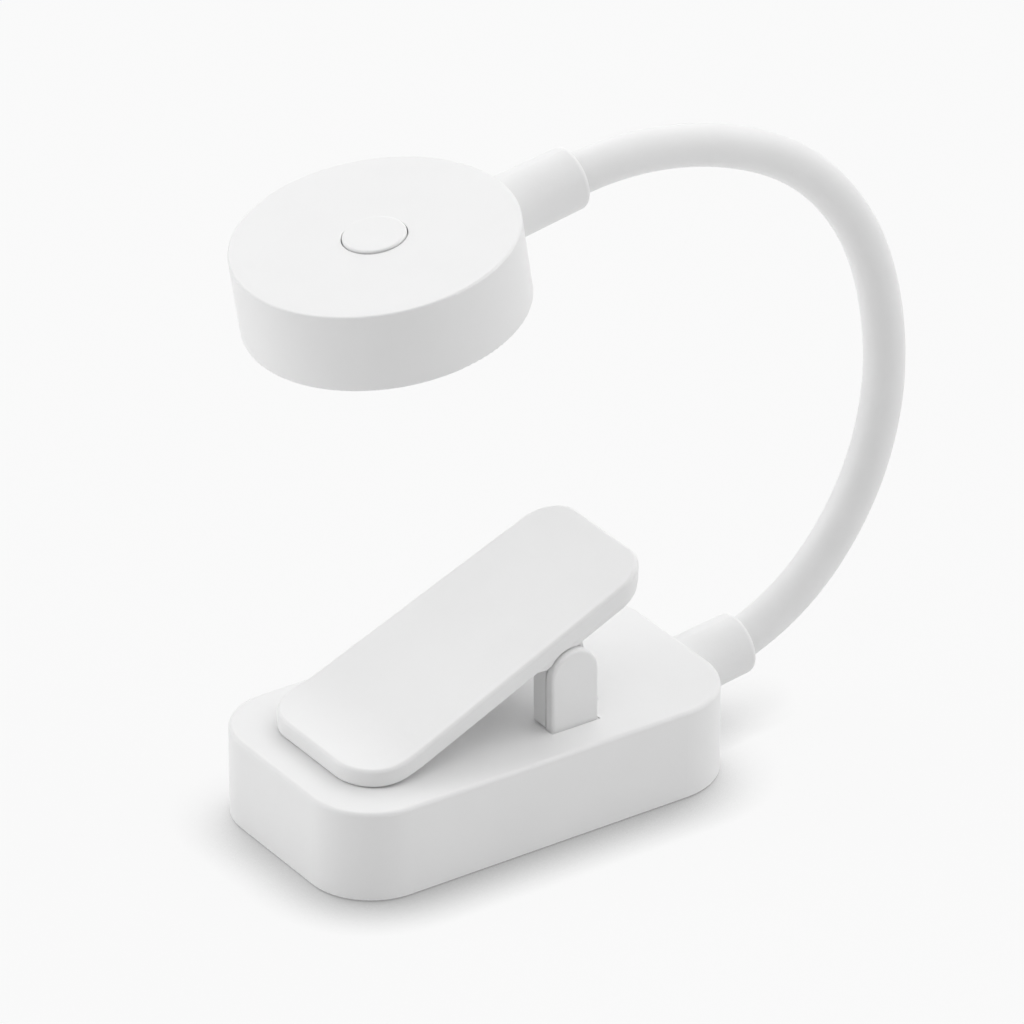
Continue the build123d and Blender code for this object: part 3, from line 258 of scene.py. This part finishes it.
def rubbed_edges(tree, place, width):
    """1 along the outer edges, in uneven patches, and 0 on the open faces."""
    round_over = tree.nodes.new("ShaderNodeBevel")
    round_over.samples = 4
    round_over.inputs["Radius"].default_value = width
    shape = tree.nodes.new("ShaderNodeNewGeometry")
    compare = tree.nodes.new("ShaderNodeVectorMath")
    compare.operation = "DOT_PRODUCT"
    tree.links.new(round_over.outputs["Normal"], compare.inputs[0])
    tree.links.new(shape.outputs["Normal"], compare.inputs[1])
    edges = value_range(tree, compare.outputs["Value"], 1.0, 0.0, 0.86, 0.99)
    patches = value_range(tree, add_noise(tree, place, 0.004, 4.0), 0.2, 1.0, 0.35, 0.65)
    return calculate(tree, "MULTIPLY", edges, patches)


def moulded_plastic(name, tone, roughness, grain_size, grain_depth):
    """Moulded plastic: fine eroded grain, faint flow clouds and rubbed edges."""
    material, tree, shader, place = start_material(name)
    clouds = add_noise(tree, place, 0.015, 3.0)
    edges = rubbed_edges(tree, place, 0.0005)
    pale = [channel * 1.02 for channel in tone]
    deep = [channel * 0.985 for channel in tone]
    cloudy = colour_steps(tree, clouds, [(0.3, deep), (0.7, tone)])
    tree.links.new(lay_over(tree, edges, cloudy, pale), shader.inputs["Base Color"])

    grain = add_noise(tree, place, grain_size, 3.0)
    sheen = value_range(tree, grain, roughness - 0.05, roughness + 0.07, 0.3, 0.7)
    sheen = calculate(tree, "SUBTRACT", sheen, calculate(tree, "MULTIPLY", edges, 0.12))
    tree.links.new(sheen, shader.inputs["Roughness"])
    raise_surface(tree, shader, grain, grain_depth, 0.4)
    return material


def finish(material, *names):
    """Gives CAD nodes their material."""
    for name in names:
        nodes[name].data.materials.clear()
        nodes[name].data.materials.append(material)


white_plastic = moulded_plastic("white_plastic", (0.86, 0.86, 0.86), 0.5, 0.00035, 0.00003)
finish(white_plastic, "case_shell", "bottom_plate", "battery_door")


# Fasteners: small countersunk and pan-head screws in zinc-plated steel. The plating is
# even and slightly cloudy, with fine turning marks left by the heading tool.
def plated_steel(name, tone, roughness, mark_size):
    material, tree, shader, place = start_material(name)
    shader.inputs["Metallic"].default_value = 1.0
    clouds = add_noise(tree, place, 0.0012, 3.0)
    darker = [channel * 0.8 for channel in tone]
    tree.links.new(
        colour_steps(tree, clouds, [(0.3, darker), (0.65, tone)]), shader.inputs["Base Color"]
    )
    marks = add_noise(tree, stretch(tree, place, (1, 1, 0.12)), mark_size, 4.0)
    tree.links.new(
        value_range(tree, marks, roughness - 0.08, roughness + 0.12, 0.3, 0.7),
        shader.inputs["Roughness"],
    )
    raise_surface(tree, shader, marks, 0.00001, 0.5)
    return material


screw_steel = plated_steel("screw_steel", (0.66, 0.66, 0.67), 0.34, 0.0001)
finish(
    screw_steel,
    "case_screws",
    "door_screw",
    "board_screws",
    "base_strap_screws",
    "head_strap_screws",
    "switch_screws",
    "lamp_screws",
)


# Feet: four soft grey rubber discs, stuck in round recesses of the bottom plate. They
# have picked up a little dust, which sits in their fine open skin.
def matt_rubber(name, tone, dust, skin_size):
    material, tree, shader, place = start_material(name)
    specks = add_noise(tree, place, 0.0006, 5.0)
    tree.links.new(
        colour_steps(tree, specks, [(0.45, tone), (0.75, dust)]), shader.inputs["Base Color"]
    )
    skin = add_noise(tree, place, skin_size, 3.0)
    tree.links.new(value_range(tree, skin, 0.68, 0.9), shader.inputs["Roughness"])
    shader.inputs["Specular IOR Level"].default_value = 0.35
    raise_surface(tree, shader, skin, 0.00003, 0.6)
    return material


grey_rubber = matt_rubber("grey_rubber", (0.42, 0.42, 0.42), (0.52, 0.51, 0.49), 0.0003)
finish(grey_rubber, "feet")


# Battery tray and neck straps: plain mouldings in off-white plastic, never seen in use,
# so their moulds were left smooth and show the flow of the plastic a little more.
inner_plastic = moulded_plastic("inner_plastic", (0.72, 0.72, 0.71), 0.42, 0.0008, 0.00002)
finish(inner_plastic, "battery_tray", "base_strap", "head_strap")


# Cells: three AAA cells side by side. Each is a nickel-plated can in a printed plastic
# sleeve, dark with a copper-coloured band at the positive end and a thin pale line.
def printed_cell(name, flat_end, tip_end):
    material, tree, shader, place = start_material(name)
    share = value_range(tree, along_axis(tree, place, "X"), 0.0, 1.0, flat_end, tip_end)
    can, ink = (0.62, 0.61, 0.58), (0.03, 0.035, 0.045)
    band, line = (0.55, 0.27, 0.12), (0.7, 0.7, 0.68)
    print_steps = [(0.0, can), (0.02, ink), (0.70, line), (0.715, band), (0.95, can)]
    tree.links.new(colour_steps(tree, share, print_steps, sharp=True), shader.inputs["Base Color"])
    metal_steps = [(0.0, (1, 1, 1)), (0.02, (0, 0, 0)), (0.715, (0.6,) * 3), (0.95, (1, 1, 1))]
    tree.links.new(colour_steps(tree, share, metal_steps, sharp=True), shader.inputs["Metallic"])
    scuffs = add_noise(tree, stretch(tree, place, (0.2, 1, 1)), 0.0005, 4.0)
    tree.links.new(value_range(tree, scuffs, 0.2, 0.42), shader.inputs["Roughness"])
    raise_surface(tree, shader, scuffs, 0.00002, 0.3)
    return material


for number in (1, 2, 3):
    low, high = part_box(f"battery_{number}")
    ends = (low.x, high.x) if number % 2 else (high.x, low.x)
    finish(printed_cell(f"printed_cell_{number}", *ends), f"battery_{number}")


# Contacts: plates cut from nickel-plated strip and small coil springs wound from plated
# wire, which press each cell's flat end.
contact_metal = plated_steel("contact_metal", (0.72, 0.70, 0.66), 0.28, 0.00015)
finish(contact_metal, "contact_plates")
spring_steel = plated_steel("spring_steel", (0.55, 0.55, 0.56), 0.26, 0.00008)
finish(spring_steel, "battery_springs")


# Boards: glass-filled board under a white solder mask. Copper tracks stand up a little
# under the mask, and the driver chip is a black moulding on the top of its board.
def circuit_board(name, mask, chip_from=None):
    material, tree, shader, place = start_material(name)
    tracks = tree.nodes.new("ShaderNodeTexBrick")
    tracks.inputs["Scale"].default_value = 90.0
    tracks.inputs["Mortar Size"].default_value = 0.03
    tracks.inputs["Color1"].default_value = (1, 1, 1, 1)
    tracks.inputs["Color2"].default_value = (0.9, 0.9, 0.9, 1)
    tracks.inputs["Mortar"].default_value = (0, 0, 0, 1)
    tree.links.new(place, tracks.inputs["Vector"])
    covered = [channel * 0.93 for channel in mask]
    tone = colour_steps(tree, tracks.outputs["Fac"], [(0.2, mask), (0.8, covered)])
    if chip_from is not None:
        is_chip = calculate(tree, "GREATER_THAN", along_axis(tree, place, "Z"), chip_from)
        tone = lay_over(tree, is_chip, tone, (0.03, 0.03, 0.03))
    tree.links.new(tone, shader.inputs["Base Color"])
    ripple = add_noise(tree, place, 0.0008, 3.0)
    tree.links.new(value_range(tree, ripple, 0.25, 0.45), shader.inputs["Roughness"])
    raise_surface(tree, shader, tracks.outputs["Fac"], 0.00003, 0.4)
    return material


chip_height = 0.0011
above_mask = 0.00005
board_mask = (0.78, 0.79, 0.76)
chip_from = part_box("driver_board")[1].z - chip_height + above_mask
finish(circuit_board("driver_circuit", board_mask, chip_from), "driver_board")
finish(circuit_board("lamp_circuit", board_mask), "switch_board", "lamp_board")


# Clip: the lever is the case's white plastic and turns on a ground steel pin. Its pads
# are strips of dark grooved rubber.
finish(white_plastic, "clip_lever")
finish(plated_steel("pin_steel", (0.6, 0.6, 0.61), 0.22, 0.0002), "hinge_pin")
pad_rubber = matt_rubber("pad_rubber", (0.09, 0.09, 0.09), (0.17, 0.17, 0.16), 0.0002)
finish(pad_rubber, "lower_jaw_pad", "upper_jaw_pad")


# Lever spring: steel wire wound round the pin, with one leg on the deck and one under
# the lever.
bpy.ops.object.select_all(action="DESELECT")
nodes["lever_spring"].select_set(True)
bpy.context.view_layer.objects.active = nodes["lever_spring"]
bpy.ops.object.duplicate()
winding = bpy.context.object
winding.name = "wound_spring"
winding.parent = None
bpy.ops.object.mode_set(mode="EDIT")
bpy.ops.mesh.select_all(action="SELECT")
bpy.ops.mesh.remove_doubles(threshold=1e-6)
bpy.ops.object.mode_set(mode="OBJECT")
bpy.ops.object.shade_smooth_by_angle(angle=math.radians(40))
winding.data.materials.clear()
winding.data.materials.append(spring_steel)
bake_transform(winding)
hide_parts("lever_spring")


# Neck core: flat steel wire wound tight round a bronze one, a bendable tube that stays
# where it is put. The turns show as fine rings square to its length.
neck_radius = 0.004
neck_root = Vector((0.04415, 0, 0.01025))
neck_pitch = 7.7
collar_length = 0.0153
bend_outside = 0.0018
mouth_length, mouth_turn = 0.006, 12.7
link_length = 0.02066
link_turns = (27.7, 22.1, 20.6, 16.3, 22.4, 23.6, 16.3, 18.3)
head_bend_length, head_bend_turn = 0.006, 1.4


def along(heading):
    return Vector((math.cos(math.radians(heading)), 0, math.sin(math.radians(heading))))


def arc_end(point, heading, length, turn):
    half = math.radians(turn) / 2
    return point + along(heading + turn / 2) * (length * math.sin(half) / half)


def arc_centre(point, heading, length, turn):
    return point + along(heading + 90) * (length / math.radians(turn))


def wound_core(name, centre, radius):
    """Steel windings as rings about the centre of the arc that the core follows."""
    turn_width = 0.0011
    material, tree, shader, place = start_material(name)
    shader.inputs["Metallic"].default_value = 1.0
    aside = calculate(tree, "SUBTRACT", along_axis(tree, place, "X"), centre.x)
    above = calculate(tree, "SUBTRACT", along_axis(tree, place, "Z"), centre.z)
    angle = calculate(tree, "ARCTAN2", above, aside)
    rings = calculate(tree, "MULTIPLY", angle, 2 * math.pi * radius / turn_width)
    rings = calculate(tree, "SINE", rings, 0.0)
    ring_share = value_range(tree, rings, 0.0, 1.0, -1.0, 1.0)
    # Painted shade: the grooves between the turns are coloured dark as the shade between the
    # wires, and the crests keep the steel's own tone.
    turn_tone_and_groove_shade = [(0.0, (0.16, 0.15, 0.14)), (0.35, (0.5, 0.5, 0.5))]
    tree.links.new(colour_steps(tree, ring_share, turn_tone_and_groove_shade), shader.inputs["Base Color"])
    smears = add_noise(tree, place, 0.0007, 3.0)
    tree.links.new(value_range(tree, smears, 0.25, 0.45), shader.inputs["Roughness"])
    raise_surface(tree, shader, rings, 0.0002, 0.8)
    return material


bend_start = neck_root + along(neck_pitch) * (collar_length + bend_outside - mouth_length)
point = arc_end(bend_start, neck_pitch, mouth_length, mouth_turn)
heading = neck_pitch + mouth_turn
for number, turn in enumerate(link_turns, start=1):
    centre = arc_centre(point, heading, link_length, turn)
    radius = link_length / math.radians(turn)
    finish(wound_core(f"wound_core_{number}", centre, radius), f"core_{number}")
    point, heading = arc_end(point, heading, link_length, turn), heading + turn


# Wires: two soft stranded wires in red and black insulation, drawn through the core to
# the boards at both ends.
def paired_insulation(name, first, second):
    material, tree, shader, place = start_material(name)
    side = value_range(tree, along_axis(tree, place, "Y"), 0.0, 1.0, -0.00001, 0.00001)
    pair_steps = [(0.0, first), (1.0, second)]
    tree.links.new(colour_steps(tree, side, pair_steps), shader.inputs["Base Color"])
    drag = add_noise(tree, place, 0.0004, 3.0)
    tree.links.new(value_range(tree, drag, 0.3, 0.5), shader.inputs["Roughness"])
    raise_surface(tree, shader, drag, 0.00001, 0.4)
    return material


insulation = paired_insulation("wire_insulation", (0.45, 0.03, 0.02), (0.02, 0.02, 0.02))
finish(insulation, *[f"wires_{number}" for number in range(1, 9)])


# Ferrules: brass tubes crimped on the core's ends, with the ring marks of the crimping
# tool, so that a strap can hold the neck in the case and in the lamp head.
def crimped_brass(name):
    ring_pitch = 0.0016
    material, tree, shader, place = start_material(name)
    shader.inputs["Metallic"].default_value = 1.0
    rings = calculate(tree, "MULTIPLY", along_axis(tree, place, "X"), 2 * math.pi / ring_pitch)
    rings = calculate(tree, "SINE", rings, 0.0)
    stain = add_noise(tree, place, 0.0015, 4.0)
    brass_steps = [(0.3, (0.42, 0.30, 0.12)), (0.7, (0.68, 0.52, 0.26))]
    tree.links.new(colour_steps(tree, stain, brass_steps), shader.inputs["Base Color"])
    tree.links.new(value_range(tree, stain, 0.3, 0.5), shader.inputs["Roughness"])
    raise_surface(tree, shader, rings, 0.00012, 0.5)
    return material


finish(crimped_brass("ferrule_metal"), "base_ferrule", "head_ferrule")


# Neck sleeve: one smooth white silicone tube over the core. It is made in lengths that
# each bend across one knuckle of the neck.
sleeve_socket = 0.0145
head_socket = 0.01384
ring_spacing = 0.0007


def soft_silicone(name, tone):
    """Extruded silicone: satin skin, very faint clouds and a few specks of lint."""
    material, tree, shader, place = start_material(name)
    clouds = add_noise(tree, place, 0.008, 3.0)
    lint = value_range(tree, add_noise(tree, place, 0.00022, 2.0), 0.0, 1.0, 0.74, 0.8)
    deep = [channel * 0.985 for channel in tone]
    cloudy = colour_steps(tree, clouds, [(0.3, deep), (0.7, tone)])
    fleck = [channel * 0.88 for channel in tone]
    tree.links.new(lay_over(tree, lint, cloudy, fleck), shader.inputs["Base Color"])
    skin = add_noise(tree, place, 0.0006, 3.0)
    tree.links.new(value_range(tree, skin, 0.4, 0.52, 0.3, 0.7), shader.inputs["Roughness"])
    shader.inputs["Specular IOR Level"].default_value = 0.4
    raise_surface(tree, shader, skin, 0.000012, 0.4)
    return material


def follow_arc(point, heading, length, turn):
    """Spins the open end of the tube along an arc and returns where it then is."""
    bpy.ops.mesh.spin(
        steps=max(2, round(length / ring_spacing)),
        angle=-math.radians(turn),
        center=arc_centre(point, heading, length, turn),
        axis=(0, -1, 0),
    )
    return arc_end(point, heading, length, turn), heading + turn


def start_tube(name, point, heading):
    bpy.ops.object.select_all(action="DESELECT")
    bpy.ops.mesh.primitive_circle_add(
        vertices=72,
        radius=neck_radius,
        location=point,
        rotation=(0, math.radians(90 - heading), 0),
    )
    tube = bpy.context.object
    tube.name = name
    bpy.ops.object.transform_apply(location=True, rotation=True, scale=True)
    bpy.ops.object.mode_set(mode="EDIT")
    bpy.ops.mesh.select_all(action="SELECT")
    return tube


def close_tube(tube, material):
    """Closes both ends of the tube, turns its faces outwards and shades it smooth."""
    bpy.ops.mesh.select_all(action="SELECT")
    bpy.ops.mesh.remove_doubles(threshold=1e-6)
    bpy.ops.mesh.select_all(action="DESELECT")
    bpy.ops.mesh.select_non_manifold()
    bpy.ops.mesh.fill_holes(sides=0)
    bpy.ops.mesh.select_all(action="SELECT")
    bpy.ops.mesh.normals_make_consistent(inside=False)
    bpy.ops.object.mode_set(mode="OBJECT")
    bpy.ops.object.shade_smooth_by_angle(angle=math.radians(40))
    tube.data.materials.append(material)


neck_silicone = soft_silicone("neck_silicone", (0.86, 0.86, 0.86))

tube = start_tube("neck_sleeve_foot", bend_start - along(neck_pitch) * sleeve_socket, neck_pitch)
bpy.ops.mesh.extrude_edges_move(
    TRANSFORM_OT_translate={"value": along(neck_pitch) * sleeve_socket}
)
point, heading = follow_arc(bend_start, neck_pitch, mouth_length, mouth_turn)
point, heading = follow_arc(point, heading, link_length / 2, link_turns[0] / 2)
close_tube(tube, neck_silicone)
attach(tube, "base")
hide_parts("sleeve_1")

for step in range(len(link_turns) - 1):
    tube = start_tube(f"neck_sleeve_{step + 1}", point, heading)
    knuckle, knuckle_heading = follow_arc(point, heading, link_length / 2, link_turns[step] / 2)
    point, heading = follow_arc(
        knuckle, knuckle_heading, link_length / 2, link_turns[step + 1] / 2
    )
    close_tube(tube, neck_silicone)
    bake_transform(tube)
    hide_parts(f"sleeve_{step + 2}")

tube = start_tube("neck_sleeve_top", point, heading)
point, heading = follow_arc(point, heading, link_length / 2, link_turns[-1] / 2)
point, heading = follow_arc(point, heading, head_bend_length, head_bend_turn)
bpy.ops.mesh.extrude_edges_move(
    TRANSFORM_OT_translate={"value": along(heading) * head_socket}
)
close_tube(tube, neck_silicone)
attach(tube, "head")
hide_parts("sleeve_8")


# Lamp head and its push button: the same white plastic as the case, moulded apart. The
# button's face is rubbed a little smoother by fingers.
finish(white_plastic, "head_shell")
finish(
    moulded_plastic("button_plastic", (0.86, 0.86, 0.86), 0.46, 0.0004, 0.00002), "button_cap"
)


# Push switch: a small black moulded switch with a round black plunger.
black_plastic = moulded_plastic("black_plastic", (0.03, 0.03, 0.03), 0.4, 0.0003, 0.00001)
finish(black_plastic, "tact_switch", "switch_plunger")


# Diodes: pale resin over yellow phosphor, twelve in a ring on the lamp board.
def phosphor_resin(name):
    material, tree, shader, place = start_material(name)
    grains = add_noise(tree, place, 0.0002, 4.0)
    phosphor = [(0.35, (0.72, 0.55, 0.14)), (0.7, (0.86, 0.72, 0.28))]
    tree.links.new(colour_steps(tree, grains, phosphor), shader.inputs["Base Color"])
    tree.links.new(value_range(tree, grains, 0.15, 0.3), shader.inputs["Roughness"])
    raise_surface(tree, shader, grains, 0.00001, 0.3)
    return material


finish(phosphor_resin("led_resin"), "leds")


# Lens: a frosted disc of clear plastic with a milky body, which spreads the light of the
# diodes. Its outer face is etched in fine dots.
def frosted_plastic(name):
    material, tree, shader, place = start_material(name)
    shader.inputs["Transmission Weight"].default_value = 0.45
    shader.inputs["IOR"].default_value = 1.58
    clouds = add_noise(tree, place, 0.004, 3.0)
    milk = [(0.3, (0.86, 0.86, 0.85)), (0.7, (0.9, 0.9, 0.89))]
    tree.links.new(colour_steps(tree, clouds, milk), shader.inputs["Base Color"])
    dots = tree.nodes.new("ShaderNodeTexVoronoi")
    dots.inputs["Scale"].default_value = 1400
    tree.links.new(place, dots.inputs["Vector"])
    tree.links.new(
        value_range(tree, dots.outputs["Distance"], 0.5, 0.3, 0.0, 0.6), shader.inputs["Roughness"]
    )
    raise_surface(tree, shader, dots.outputs["Distance"], 0.00006, 0.5)
    return material


finish(frosted_plastic("lens_plastic"), "lens")
